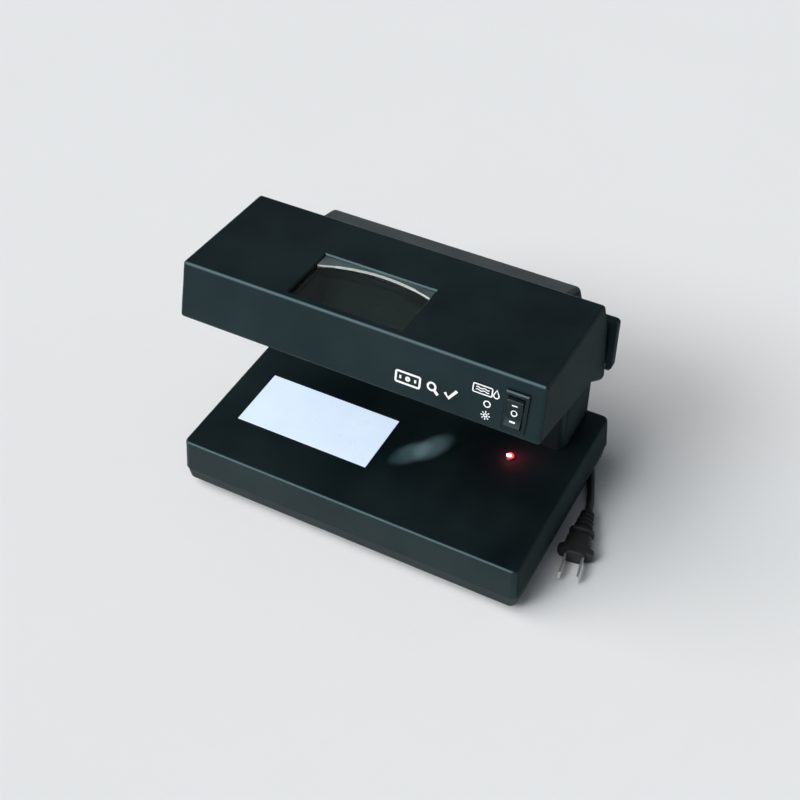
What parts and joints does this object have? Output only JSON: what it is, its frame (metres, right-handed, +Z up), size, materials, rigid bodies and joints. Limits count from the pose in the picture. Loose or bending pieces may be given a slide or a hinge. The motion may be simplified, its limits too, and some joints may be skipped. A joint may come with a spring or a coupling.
{
  "type": "counterfeit bill detector",
  "caption": "Desktop banknote checker: flat base with a lit watermark window, rear column, overhanging head with magnifier, ultraviolet tubes, rocker switch and magnetic sensor, and mains cord.",
  "frame": {"origin": "middle of the footprint of the object without its cord, on the table", "axes": "+X to the user's right along the head, +Y to the back where the column stands, +Z up"},
  "size_m": [0.2994, 0.2935, 0.1916],
  "materials": {
    "shell_black": "fine moulded texture",
    "panel_black": "fine moulded texture",
    "foot_rubber": "matt",
    "screw_steel": "zinc plated",
    "opal_acrylic": "lit opal acrylic",
    "white_sheet": "white enamel",
    "white_lamp_glass": "white phosphor coating",
    "uv_lamp_glass": "dark violet filter glass",
    "lamp_cap": "satin",
    "holder_ivory": "satin",
    "circuit_green": "solder mask",
    "choke_iron": "varnished laminations",
    "capacitor_blue": "printed sleeve left plain",
    "buzzer_black": "satin",
    "led_red": "clear red",
    "trim_black": "satin",
    "lens_clear": "polished",
    "terminal_brass": "bright",
    "pickup_chrome": "polished",
    "harness_grey": "satin sleeve",
    "cord_rubber": "satin",
    "tie_black": "satin",
    "blade_nickel": "nickel plated"
  },
  "bodies": {
    "housing": {"base_shell": "shell_black", "base_tray": "panel_black", "rubber_feet": "foot_rubber", "base_screws": "screw_steel", "watermark_window": "opal_acrylic", "window_reflector": "white_sheet", "white_tube": "white_lamp_glass", "white_tube_caps": "lamp_cap", "white_lamp_holders": "holder_ivory", "ballast_board": "circuit_green", "ballast_choke": "choke_iron", "ballast_capacitors": "capacitor_blue", "board_screws": "screw_steel", "warning_buzzer": "buzzer_black", "indicator_led": "led_red", "led_collar": "trim_black", "column_shell": "shell_black", "column_cover": "panel_black", "column_cover_screws": "screw_steel", "column_foot_screws": "screw_steel", "neck_screws": "screw_steel", "head_shell": "shell_black", "head_underside": "panel_black", "head_screws": "screw_steel", "uv_reflector": "white_sheet", "uv_tubes": "uv_lamp_glass", "uv_tube_caps": "lamp_cap", "uv_lamp_holders": "holder_ivory", "magnifier_lens": "lens_clear", "lens_shroud": "panel_black", "switch_housing": "trim_black", "switch_terminals": "terminal_brass", "sensor_housing": "shell_black", "pickup_head": "pickup_chrome", "sensor_screws": "screw_steel", "wiring_harness": "harness_grey", "strain_relief": "cord_rubber", "cord_to_coil": "cord_rubber", "cord_coil": "cord_rubber", "coil_tie": "tie_black", "cord_to_plug": "cord_rubber", "plug_body": "cord_rubber", "plug_blades": "blade_nickel"},
    "rocker": {"switch_rocker": "trim_black"}
  },
  "joints": [
    {"name": "rocker_tilt", "type": "hinge", "parent": "housing", "child": "rocker", "pos_m": [0.11205, -0.06138, 0.16848], "axis": [1, 0, 0], "range_deg": [-12, 12]}
  ]
}
